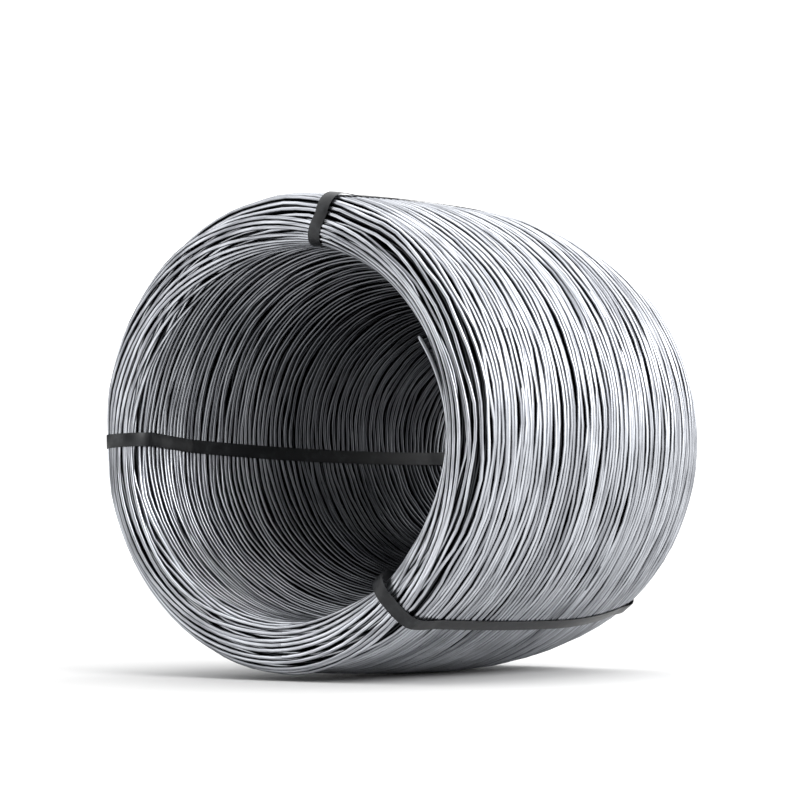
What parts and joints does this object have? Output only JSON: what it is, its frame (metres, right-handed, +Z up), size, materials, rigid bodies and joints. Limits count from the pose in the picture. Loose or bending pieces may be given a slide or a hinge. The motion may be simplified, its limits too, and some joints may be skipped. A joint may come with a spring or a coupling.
{
  "type": "coil of wire rod",
  "caption": "Coil of bright steel wire rod lying on its side, wound round an open bore that narrows towards the back, and held by flat steel straps.",
  "frame": {"origin": "on the floor under the middle of the coil, at the bottom centre of the part's box", "axes": "-Y out of the bore's mouth in the front end, along the coil's axis, +Z up, +X to the right seen from the front end"},
  "size_m": [1.1214, 1.0026, 1.1196],
  "materials": {
    "wire_rod": "bright cold-drawn steel rod with fine lengthwise drawing marks and blue-grey mill tones",
    "strap_steel": "black waxed and painted flat strap steel, satin, with its edges rubbed bare"
  },
  "bodies": {
    "root": {"rod_coil": "wire_rod", "strap_top": "strap_steel", "strap_right": "strap_steel", "strap_left": "strap_steel"}
  },
  "joints": []
}
